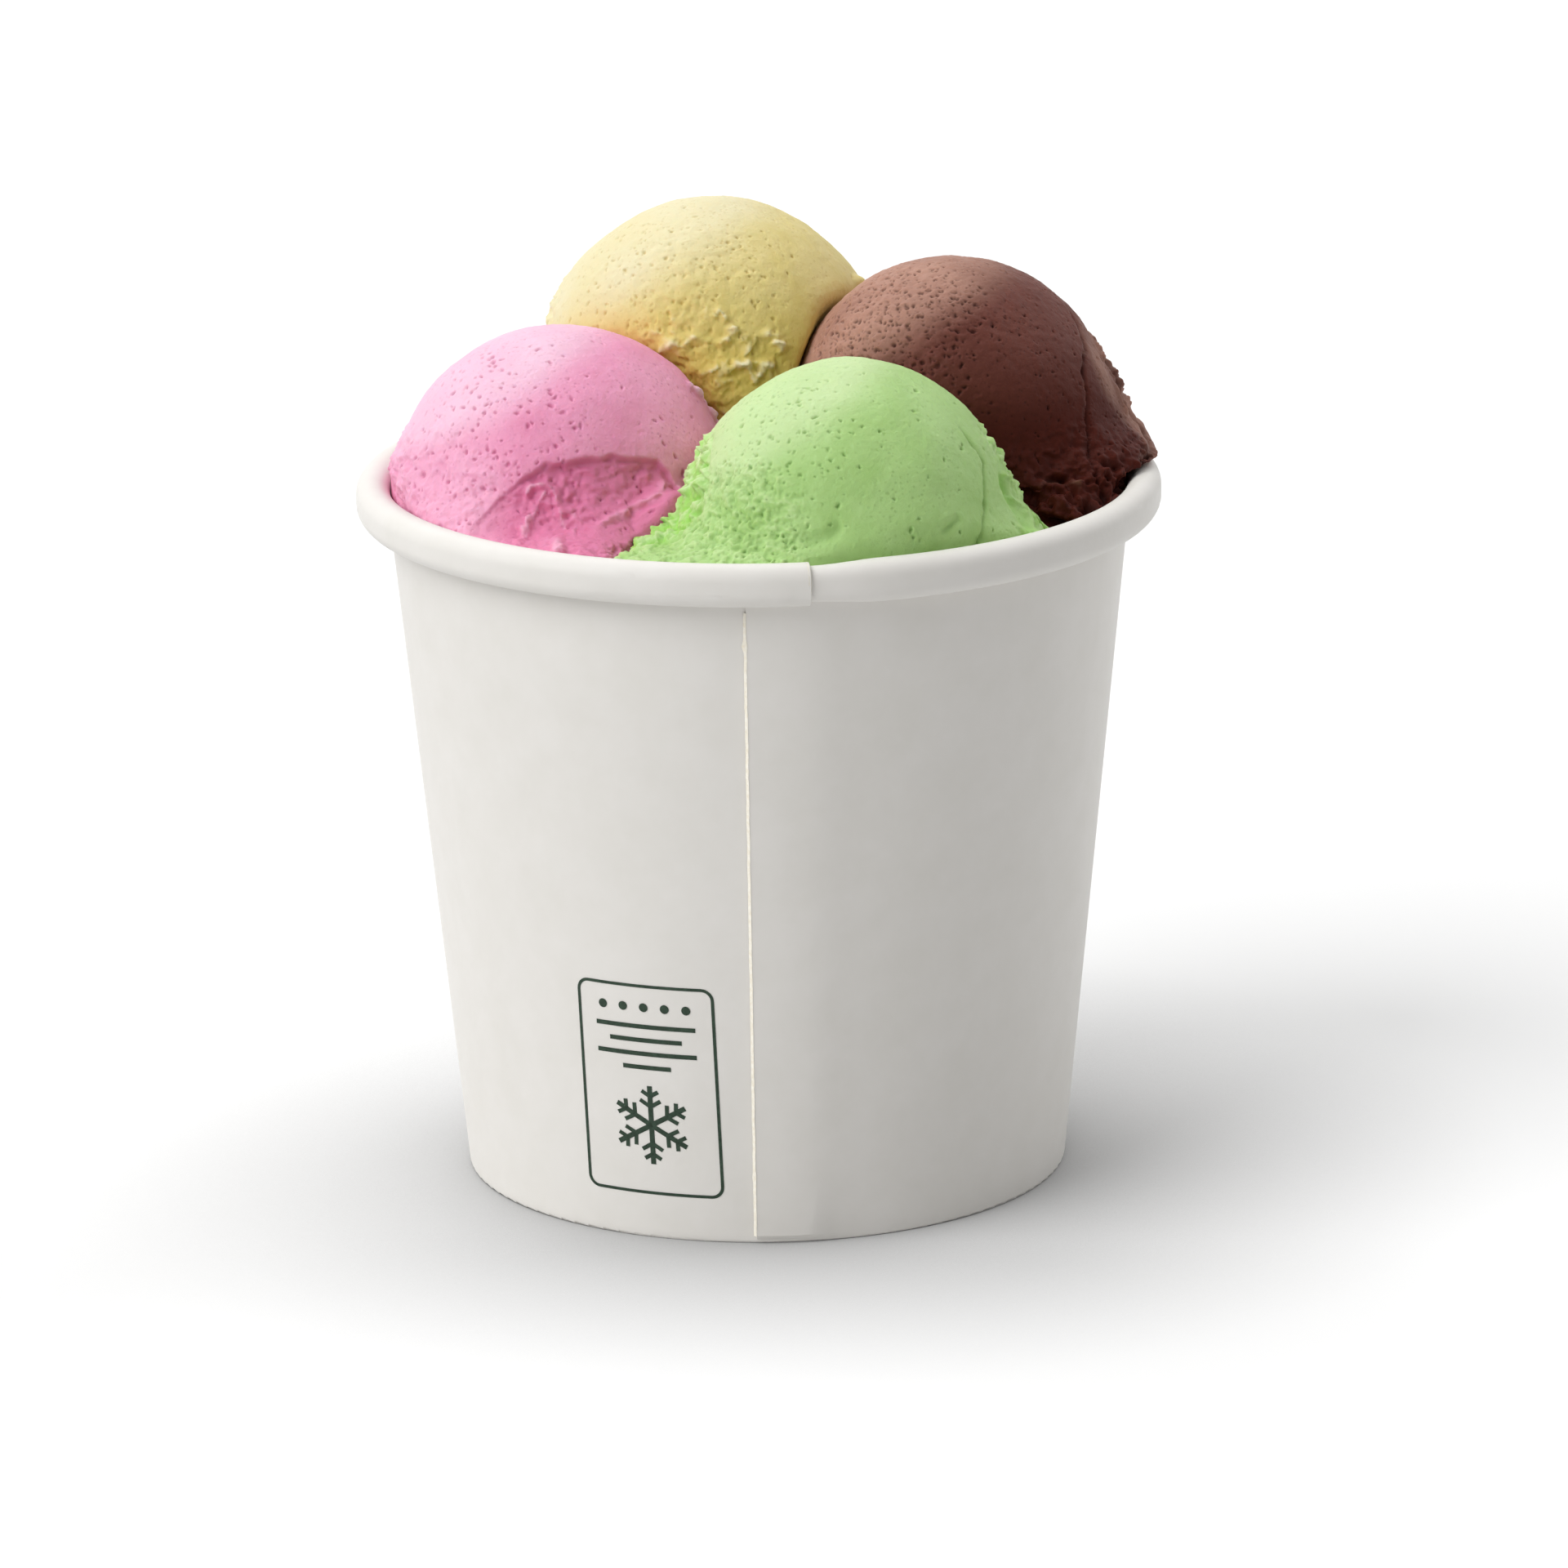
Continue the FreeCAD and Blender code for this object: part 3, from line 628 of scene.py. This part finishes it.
def vanilla_shape(at, way):
    """Bubbles on the front, curled flakes over the torn foot, and lips on the left."""
    bubbly = patch(way, -112, 38, 24, 26)
    left = patch(way, 172, 14, 14, 12)
    tear = patch(way, -90, 12, 18, 16) * ease(cloud(at, 3.6, 7), -0.75, 0.1)
    smooth_foot = patch(way, -90, 10, 30, 20)
    pits = open_pits(at * [1, 1, 0.65], 0.08 + 0.70 * bubbly + 0.35 * tear, 0.80, 0.10, 0.32, 11)
    rough = torn(at, 1.2, 21)
    curls = flakes(way, VANILLA_RADIUS, VANILLA_CURLS, 0.75, 15)
    flap, _ = crease(way, VANILLA_RADIUS, VANILLA_FLAP, 1.0, 12)

    lift = swell(at, 9.0, 3.2, 3) + grain(at, 13)
    lift -= 0.28 * pits
    lift += tear * (0.32 * rough - 0.1)
    lift += 0.95 * curls
    lift += 0.10 * bubbly * cloud(at, 0.8, 17)
    lift += left * (0.4 * lips(at, 1.7, 31) + 0.38 * torn(at, 1.3, 33))
    lift += flap
    lift += ragged_foot(at, way, 300) * (1 - smooth_foot)

    # Painted shade: the lower front, turned away from the lamps and shaded by the scoops in front, takes
    # the deeper tint.
    shaded = ease(-way[:, 2], -0.75, -0.15) * ease(-way[:, 1], 0.2, 0.7)
    deeper_tint = np.maximum(0.8 * shaded, 0.6 * foot_band(at, way, 300) * ease(-rough, 0.0, 0.5))
    # Painted highlights: the raised crumbs of the tear are made paler.
    crumbs = tear * ease(rough, 0.35, 0.8)
    # Painted light: the upper left, facing the lamps, is made paler along with its frost.
    lit_patch_and_frost = patch(way, 172, 60, 34, 26) * (0.85 + 0.2 * cloud(at, 5.0, 6))
    frost_and_light = np.clip(0.3 * crumbs + 0.8 * ease(curls, 0.2, 0.7) + lit_patch_and_frost, 0, 1)
    # The pits are darkened as painted shade.
    return lift, 0.6 * pits, deeper_tint, frost_and_light


vanilla = sculpted_scoop("scoop_vanilla", "vanilla_scoop", VANILLA_MIDDLE, vanilla_shape)
# Its pit colour is painted shade; its deeper tint serves for wet ice cream and painted shade, its paler
# one for frost and painted light.
vanilla.data.materials.append(
    ice_cream("Vanilla ice cream, scooped", face="#EBDA96", shade="#E2D083", pit_shade_colour="#C2A448",
              deeper_tint_colour="#DCC664", frost_and_light_colour="#ECE3BC", roughness=0.55, bite=0.8))

# ---- Chocolate scoop --------------------------------------------------------
# Chocolate ice cream, drier than the others: the top is dusty with frost and
# full of open bubbles, and the right side folded over as the scoop turned out.
# Its top and a band on the right are also painted paler as light, and its
# lower part, folds and pits painted darker as shade.
CHOCOLATE_MIDDLE, CHOCOLATE_RADIUS = (22.99, 8.0, 88.5), 19.0
CHOCOLATE_FOLD = [(0, 46), (-9, 38), (-20, 30), (-32, 21), (-37, 11), (-45, -6), (-47, -15)]
CHOCOLATE_CREASE = [(10, 36), (5, 28), (0, 20), (-7, 9), (-9, -3), (-28, -8), (-38, -14)]
CHOCOLATE_BITS = [
    [(-68, -11), (-60, -9), (-50, -10)],
    [(-56, -22), (-46, -26), (-32, -32)],
    [(-42, -20), (-34, -15), (-20, -13)],
    [(-35, -34), (-18, -31), (-8, -24)],
    [(-58, -16), (-50, -18), (-44, -15)]]
CHOCOLATE_SCRAPS = [
    [(2, 32), (-2, 26), (-6, 20)],
    [(-8, 14), (-12, 8), (-14, 2)],
    [(-16, -2), (-24, -5), (-30, -6)]]


def chocolate_shape(at, way):
    """Two sizes of bubbles in front, two folds on the right, and a torn hollow below them."""
    bubbly = patch(way, -124, 44, 22, 24)
    tear = patch(way, -46, -28, 20, 10)
    fringe = patch(way, 10, 14, 12, 8)
    skirt = patch(way, -4, -8, 12, 8)
    large_pits = open_pits(at * [1, 1, 0.75], 0.05 + 0.95 * bubbly, 0.74, 0.11, 0.34, 51)
    small_pits = open_pits(at * [1, 0.8, 1], 0.10 + 0.6 * bubbly, 0.52, 0.08, 0.22, 58)
    pits = np.maximum(large_pits, small_pits)
    frayed = 0.75 + 0.6 * cloud(at, 0.9, 54)
    fold, fold_side = crease(way, CHOCOLATE_RADIUS, CHOCOLATE_FOLD, 0.42, 52)
    second, _ = crease(way, CHOCOLATE_RADIUS, CHOCOLATE_CREASE, 0.6, 56)
    rough = torn(at, 2.1, 61)
    bits = flakes(way, CHOCOLATE_RADIUS, CHOCOLATE_BITS, 0.7, 65)
    scraps = flakes(way, CHOCOLATE_RADIUS, CHOCOLATE_SCRAPS, 0.5, 75)

    lift = swell(at, 8.0, 2.8, 43) + 1.6 * grain(at, 53)
    lift += 0.15 * bubbly * cloud(at, 0.8, 59)
    lift -= 0.38 * pits
    lift -= 0.7 * fold * frayed
    lift -= 1.1 * second * frayed
    lift += 0.25 * fold_side * np.sqrt(np.clip(fold, 0, 1))
    lift += tear * (1.7 * rough - 0.7)
    lift += 0.9 * bits
    lift += fringe * (0.6 * torn(at, 1.3, 63) + 0.5 * lips(at, 2.0, 71))
    lift += skirt * 0.2 * torn(at, 1.6, 67)
    lift += 0.5 * scraps
    lift += ragged_foot(at, way, 320) * (1 - np.clip(tear + skirt, 0, 1))

    # Painted shade: darker in the pits, the folds, the crease and the low parts of the torn hollow.
    hollow_shade = np.clip(0.9 * fold * frayed + 0.8 * second
                     + 0.9 * tear * ease(-rough, -0.1, 0.5) * (1 - bits), 0, 1)
    # Painted shade: the lower part, away from the lamps, takes the deeper tint.
    deeper_tint = 0.95 * (1 - ease(way[:, 2], 0.05, 0.7)) * (1 - 0.7 * skirt)
    # Painted light: the top facing the lamps and a band on the right are made paler, along with frost and
    # dust on the top, the skirt and the bits.
    dust_and_light = np.clip(patch(way, 170, 60, 34, 26) * (0.85 + 0.25 * cloud(at, 5.0, 47))
                    + 0.32 * skirt * (0.8 + 0.6 * cloud(at, 2.5, 77))
                    + 0.5 * patch(way, 2, 14, 18, 10) * (0.8 + 0.5 * cloud(at, 3.0, 79))
                    + 0.25 * ease(bits, 0.3, 0.9) + 0.3 * scraps, 0, 1)
    return lift, np.maximum(pits, hollow_shade), deeper_tint, dust_and_light


chocolate = sculpted_scoop("scoop_chocolate", "chocolate_scoop", CHOCOLATE_MIDDLE, chocolate_shape)
# Its pit colour is painted shade; its deeper tint serves as painted shade, its paler one for frost, dust
# and painted light.
chocolate.data.materials.append(
    ice_cream("Chocolate ice cream, scooped", face="#6F4138", shade="#643931", pit_shade_colour="#2A0F0B",
              deeper_tint_colour="#4A1B13", frost_and_light_colour="#B98F7E", shine=0.12))

# ---- Strawberry scoop -------------------------------------------------------
# Strawberry ice cream. A second pull of the scoop scraped its lower front
# flat, with a sharp upper lip and curled shreds at the end of the cut.
STRAWBERRY_MIDDLE, STRAWBERRY_RADIUS = (-23.2, -4.0, 82.8), 19.8
CUT_TOP = [(-122, -4), (-112, 10), (-103, 19), (-97, 23), (-91, 25), (-79, 26),
           (-69, 26), (-59, 24), (-51, 22), (-48, 17), (-46, 8)]
CUT_FOOT = [(-112, 12), (-100, 6), (-84, 3), (-66, 2), (-55, 7), (-45, 10), (-36, 16)]
CUT_STRANDS = [
    [(-102, 11), (-99, 16), (-94, 17), (-91, 14)],
    [(-92, 16), (-90, 8), (-88, 2)],
    [(-98, 4), (-96, 11), (-94, 15)],
    [(-86, 0), (-84, 6), (-86, 11)],
    [(-103, 4), (-97, 1), (-88, 0)],
    [(-100, 9), (-99, 3), (-101, -1)]]
CUT_FRINGE = [(-116, 1), (-104, -2), (-89, -4), (-75, -5), (-59, -6), (-48, -6)]
CUT_RIDGE = [(-82, 2), (-76, 5), (-70, 7), (-64, 9), (-57, 10), (-53, 13), (-49, 16)]
STRAWBERRY_BULGES = [
    [(-4, 44), (1, 37), (5, 30), (8, 24)],
    [(3, 31), (9, 24), (10, 16)],
    [(9, 18), (6, 10), (1, 2)]]


def interpolated(values, points):
    """Read each value off the straight lines between (value, result) points."""
    return np.interp(values, *zip(*points))


def strawberry_shape(at, way):
    """The scraped face with its lip, strands and fringe, and ruffles below and beside it."""
    bearing = np.degrees(np.arctan2(way[:, 1], way[:, 0]))
    up = elevation_of(way) + 0.8 * cloud(at, 1.3, 87)
    below_lip = interpolated(bearing, CUT_TOP) - up
    above_foot = up - interpolated(bearing, CUT_FOOT)
    across = ease(bearing, -120, -112) * (1 - ease(bearing, -49, -44))
    cut = ease(below_lip, 0.0, 2.2) * across
    scraped = ease(above_foot, -1.0, 1.5)
    bubbly = patch(way, -122, 34, 24, 26)
    grainy = patch(way, -138, 4, 20, 16)
    left = patch(way, -170, 8, 14, 10)
    share = (0.07 + 0.80 * bubbly + 0.4 * grainy) * (1 - cut) + 0.45 * (cut * scraped)
    pits = open_pits(at * [1, 1, 0.8], share, 0.85, 0.11, 0.36, 91)
    rough = torn(at, 1.5, 101)
    shreds = patch(way, -93, 8, 9, 8) * cut
    strands = flakes(way, STRAWBERRY_RADIUS, CUT_STRANDS, 0.55, 104)
    fringe, _ = crease(way, STRAWBERRY_RADIUS, CUT_FRINGE, 0.9, 98)
    ridge, _ = crease(way, STRAWBERRY_RADIUS, CUT_RIDGE, 0.4, 96)
    bulge = flakes(way, STRAWBERRY_RADIUS, STRAWBERRY_BULGES, 0.9, 92)
    ruffle = ease(-up, -1.0, 1.5) * ease(bearing, -150, -135) * (1 - ease(bearing, -45, -35))
    streak = (0.6 * cloud(at * [0.4, 0.4, 1.5], 1.0, 103)
              + 0.5 * cloud(at * [0.7, 0.7, 1.3], 0.6, 105))
    depth = 0.40 + 0.45 * ease(above_foot, 0, 14)

    lift = swell(at, 9.0, 3.0, 83) + grain(at, 93)
    lift -= 0.30 * pits
    lift -= cut * scraped * (depth - 0.38 * streak - 0.10 * rough)
    lift -= 0.25 * (cut * (1 - scraped))
    lift += 0.8 * ridge * (0.7 + 0.7 * cloud(at, 0.9, 109))
    lift += 0.8 * strands
    lift += shreds * (0.1 + 0.4 * rough)
    lift += fringe * (0.4 + 0.6 * torn(at, 0.9, 107))
    lift += grainy * 0.34 * rough
    lift += ruffle * (0.45 * rough + 0.45 * torn(at, 0.9, 110))
    lift += left * (0.45 * lips(at, 1.7, 111) + 0.35 * torn(at, 1.3, 113))
    lift += 1.1 * bulge
    lift += ragged_foot(at, way, 340) * (1 - np.clip(cut + ruffle, 0, 1))
    lift += 2.4 * patch(way, -53, 0, 6, 9)      # its corner, pressed out against the pistachio

    # Painted shade: the pits, and a dark band just under the lip of the cut.
    shade_under_lip = np.exp(-((below_lip - 1.2) / 1.1) ** 2) * across
    deeper_tint = np.clip(0.9 * cut + 0.8 * left * ease(-rough, 0.0, 0.5), 0, 1)
    # Painted light: the upper left, facing the lamps, and the bulges on the right are made paler, along
    # with frost on the top.
    lit_patch_and_frost = patch(way, 175, 58, 34, 22) * (0.85 + 0.2 * cloud(at, 5.0, 86)) * (1 - cut)
    lit_patch_and_frost = np.maximum(lit_patch_and_frost, 0.8 * ease(bulge, 0.1, 0.6))
    ragged = 0.4 * ease(strands, 0.2, 0.7) + 0.35 * fringe + 0.25 * ridge + 0.3 * grainy
    frost_and_light = np.clip(np.maximum(lit_patch_and_frost, ragged), 0, 1)
    return lift, np.maximum(0.8 * pits, 0.35 * shade_under_lip), deeper_tint, frost_and_light


strawberry = sculpted_scoop("scoop_strawberry", "strawberry_scoop", STRAWBERRY_MIDDLE, strawberry_shape)
# Its pit colour is painted shade; its deeper tint serves for the scraped and torn ice cream, its paler one
# for frost and painted light.
strawberry.data.materials.append(
    ice_cream("Strawberry ice cream, scooped", face="#F6A6C8", shade="#EF98BD", pit_shade_colour="#B8527E",
              deeper_tint_colour="#DE7CA4", frost_and_light_colour="#FBCDE2", bite=0.8))

# ---- Pistachio scoop --------------------------------------------------------
# Pistachio ice cream at the front. Its foot spread against the cup; thin torn
# edges stand out left and right, bright where light goes through them, and
# that light is painted on as a deeper green.
PISTACHIO_MIDDLE, PISTACHIO_RADIUS = (10.24, -21.97, 83.1), 19.1
PISTACHIO_FOLD = [(-24, 44), (-25, 36), (-24, 26), (-31, 18), (-39, 8), (-42, 2), (-44, -6)]
PISTACHIO_CREASE = [(-12, 24), (-15, 15), (-16, 6), (-22, -1), (-26, -10)]
PISTACHIO_GROOVE = [(-112, 7), (-102, 9), (-96, 11), (-92, 14)]
PISTACHIO_NOTCH = [(-56, 8), (-51, 10), (-47, 12)]
PISTACHIO_EDGE = [(-12, 42), (-4, 32), (4, 22), (3, 14), (0, 4), (-3, -6)]
PISTACHIO_SHARDS = [
    [(-20, 14), (-14, 10), (-9, 4)],
    [(-14, 20), (-8, 16), (-4, 10)],
    [(-24, 4), (-18, 0), (-12, -4)],
    [(-10, 0), (-6, -4), (-2, -8)]]
# Height, and how far to the right of the cup's axis the foot reaches there, in millimetres.
PISTACHIO_REACH = [(81.3, 32.7), (83.8, 31.4), (86.7, 29.9), (89.2, 29.4), (90.7, 28.0), (93.1, 26.1)]


def pistachio_shape(at, way):
    """Crumbs on the left, a fold and a crease on the right, and a torn edge beyond them."""
    bubbly = patch(way, -127, 40, 20, 26)
    grainy = patch(way, -132, 6, 20, 14)
    left = patch(way, 180, 10, 20, 10)
    smooth_foot = patch(way, -80, 0, 28, 20)
    pits = open_pits(at * [1, 1, 0.75], 0.08 + 0.50 * bubbly + 0.75 * grainy, 0.72, 0.10, 0.31, 131)
    rough = torn(at, 0.95, 141)
    frayed = 0.75 + 0.6 * cloud(at, 0.9, 144)
    fold, fold_side = crease(way, PISTACHIO_RADIUS, PISTACHIO_FOLD, 0.4, 132)
    second, _ = crease(way, PISTACHIO_RADIUS, PISTACHIO_CREASE, 0.9, 136)
    groove, _ = crease(way, PISTACHIO_RADIUS, PISTACHIO_GROOVE, 0.7, 142)
    notch, _ = crease(way, PISTACHIO_RADIUS, PISTACHIO_NOTCH, 0.5, 146)
    edge, _ = crease(way, PISTACHIO_RADIUS, PISTACHIO_EDGE, 3.0, 148)
    shards = flakes(way, PISTACHIO_RADIUS, PISTACHIO_SHARDS, 0.6, 155)
    height = at[:, 2] + 0.25 * (at[:, 1] + 22)      # the foot runs a little lower in front
    beyond = at[:, 0] - interpolated(height, PISTACHIO_REACH) - 0.2 + 0.7 * cloud(at, 1.7, 143)
    sunk = np.clip(beyond, 0, 4.0) * ease(at[:, 0], 22, 25)

    lift = swell(at, 9.0, 3.0, 123) + grain(at, 133)
    lift -= 0.38 * pits
    lift -= 0.5 * fold * frayed
    lift += 0.18 * fold_side * np.sqrt(np.clip(fold, 0, 1))
    lift -= 0.7 * second
    lift -= 0.7 * groove
    lift -= 0.5 * notch
    lift += grainy * (0.34 * rough - 0.05)
    lift += left * (0.35 * rough + 0.45 * torn(at, 1.9, 153) + 1.1 * lips(at, 1.5, 151) - 0.2)
    lift += edge * (0.9 * lips(at, 1.5, 161) + 0.5 * torn(at, 1.1, 163))
    lift += 0.7 * shards
    lift += ragged_foot(at, way, 360) * (1 - smooth_foot)
    lift -= 1.1 * sunk

    # Painted shade: darker in the pits, the fold, the groove, the notch and between the crumbs.
    hollow_shade = 0.5 * fold * frayed + 0.6 * groove + 0.3 * notch + 0.35 * grainy * ease(-rough, 0.1, 0.7)
    pit_shade = np.clip(np.maximum((0.5 + 0.4 * grainy) * pits, hollow_shade), 0, 1)
    # A deeper green on the left and in the torn right edge is painted light going through the thin ice
    # cream; in the crease it is painted shade.
    deeper_tint = np.clip(left * (0.45 + 0.6 * ease(-rough, -0.1, 0.5)) + 0.6 * second
                  + 0.5 * edge * ease(-rough, -0.1, 0.4), 0, 1)
    # Painted light: the upper left, facing the lamps, is made paler along with its frost, and painted
    # highlights fall on raised crumbs, the torn right edge and the left teeth.
    lit_patch_and_frost = patch(way, 175, 58, 34, 22) * (0.85 + 0.2 * cloud(at, 5.0, 126))
    frost_and_light = np.clip(lit_patch_and_frost * (1 - 0.7 * left) + 0.35 * grainy * ease(rough, 0.0, 0.6)
                    + 0.55 * edge * ease(rough, -0.2, 0.4) + 0.6 * left * ease(rough, 0.0, 0.5), 0, 1)
    return lift, pit_shade, deeper_tint, frost_and_light


pistachio = sculpted_scoop("scoop_pistachio", "pistachio_scoop", PISTACHIO_MIDDLE, pistachio_shape)
# Its pit colour is painted shade; its deeper tint serves for painted light through thin edges and painted
# shade, its paler one for frost and painted light.
pistachio.data.materials.append(
    ice_cream("Pistachio ice cream, scooped", face="#B3D78B", shade="#A8CE7D", pit_shade_colour="#6E9645",
              deeper_tint_colour="#A0D964", frost_and_light_colour="#CDE5AA", bite=0.7))

# ---- Stage ------------------------------------------------------------------
# A sweep of white paper under three broad soft lamps and pale light all round.
# The camera stands a little above the rim, with a long lens.
PAINTED_SHADOW_REACH = 0.055       # metres round the cup within which a contact shadow is painted on the sweep


def arrives_as(tree, kinds):
    """1 for a ray of one of these kinds, such as "Is Camera Ray", and 0 for any other."""
    rays = add_node(tree, "ShaderNodeLightPath")
    found = rays.outputs[kinds[0]]
    for kind in kinds[1:]:
        either = add_node(tree, "ShaderNodeMath", {0: found, 1: rays.outputs[kind]}, operation="MAXIMUM")
        found = either.outputs[0]
    return found


# White paper: flat and matt. It looks a little brighter than the light it throws back on
# the cup, and darker close to the foot: a contact shadow painted by ambient occlusion
# where the camera sees it.
bpy.ops.mesh.primitive_plane_add(size=6.0, location=(0, 1.0, 0))
floor = bpy.context.object
floor.name = "white_sweep"
material, tree = new_material("Matt white paper sweep")
seen = arrives_as(tree, ("Is Camera Ray", "Is Glossy Ray"))
# Painted shadow: ambient occlusion darkens the paper near the foot, as the camera sees it.
near = add_node(tree, "ShaderNodeAmbientOcclusion",
                {"Color": (0.94, 0.94, 0.94, 1.0), "Distance": PAINTED_SHADOW_REACH}, samples=8)
paper = add_node(tree, "ShaderNodeMix",
                 {"Factor": seen, "A": linear("#D8D8D8"), "B": near.outputs["Color"]},
                 data_type="RGBA")
brighter = add_node(tree, "ShaderNodeMath", {0: seen, 1: 0.07}, operation="MULTIPLY")
matt = add_node(tree, "ShaderNodeBsdfDiffuse", {"Color": paper.outputs["Result"], "Roughness": 0.0})
glow = add_node(tree, "ShaderNodeEmission",
                {"Color": linear("#FFFFFF"), "Strength": brighter.outputs[0]})
both = add_node(tree, "ShaderNodeAddShader", {0: matt.outputs[0], 1: glow.outputs[0]})
finish_material(tree, both)
floor.data.materials.append(material)

# The room is white where the camera or a reflection sees it, and lights things faintly.
world = bpy.data.worlds.new("pale_room")
bpy.context.scene.world = world
world.use_nodes = True
tree = world.node_tree
tree.nodes.clear()
seen = arrives_as(tree, ("Is Camera Ray", "Is Glossy Ray", "Is Transmission Ray"))
strength = add_node(tree, "ShaderNodeMapRange", {"Value": seen, "To Min": 0.20, "To Max": 1.0})
sky = add_node(tree, "ShaderNodeBackground", {"Color": linear("#FFFFFF"), "Strength": strength.outputs[0]})
add_node(tree, "ShaderNodeOutputWorld", {"Surface": sky.outputs[0]})


def soft_lamp(name, bearing, elevation, light, spread):
    """A distant soft box; light 1 brings a white card that faces it to full white."""
    source = Vector(towards(bearing, elevation))
    lamp = bpy.data.lights.new(name, "SUN")
    lamp.energy = light * math.pi
    lamp.angle = math.radians(spread)
    holder = bpy.data.objects.new(name, lamp)
    holder.rotation_mode = "QUATERNION"
    holder.rotation_quaternion = source.to_track_quat("Z", "Y")
    bpy.context.scene.collection.objects.link(holder)


soft_lamp("side_lamp", -147, 39, 0.62, 45)      # the main one, in front at the left
soft_lamp("top_lamp", 125, 58, 0.38, 55)        # high behind the left
soft_lamp("edge_lamp", 30, 38, 0.26, 50)        # behind the right

CAMERA_BACK = 1.1336        # metres in front of the cup's axis
CAMERA_UP = 0.3614
CAMERA_PITCH = 15.564       # degrees below level
CAMERA_YAW = -0.128
CAMERA_ROLL = -0.728
LENS, SENSOR_WIDE = 227.0, 36.0     # millimetres
view = bpy.data.cameras.new("view")
view.sensor_width = SENSOR_WIDE
view.lens = LENS
camera = bpy.data.objects.new("view", view)
camera.matrix_world = (
    Matrix.Translation((0, -CAMERA_BACK, CAMERA_UP))
    @ Matrix.Rotation(math.radians(CAMERA_YAW), 4, "Z")
    @ Matrix.Rotation(math.radians(90 - CAMERA_PITCH), 4, "X")
    @ Matrix.Rotation(math.radians(CAMERA_ROLL), 4, "Z")
)
bpy.context.scene.collection.objects.link(camera)
bpy.context.scene.camera = camera
bpy.context.scene.view_settings.view_transform = "Standard"
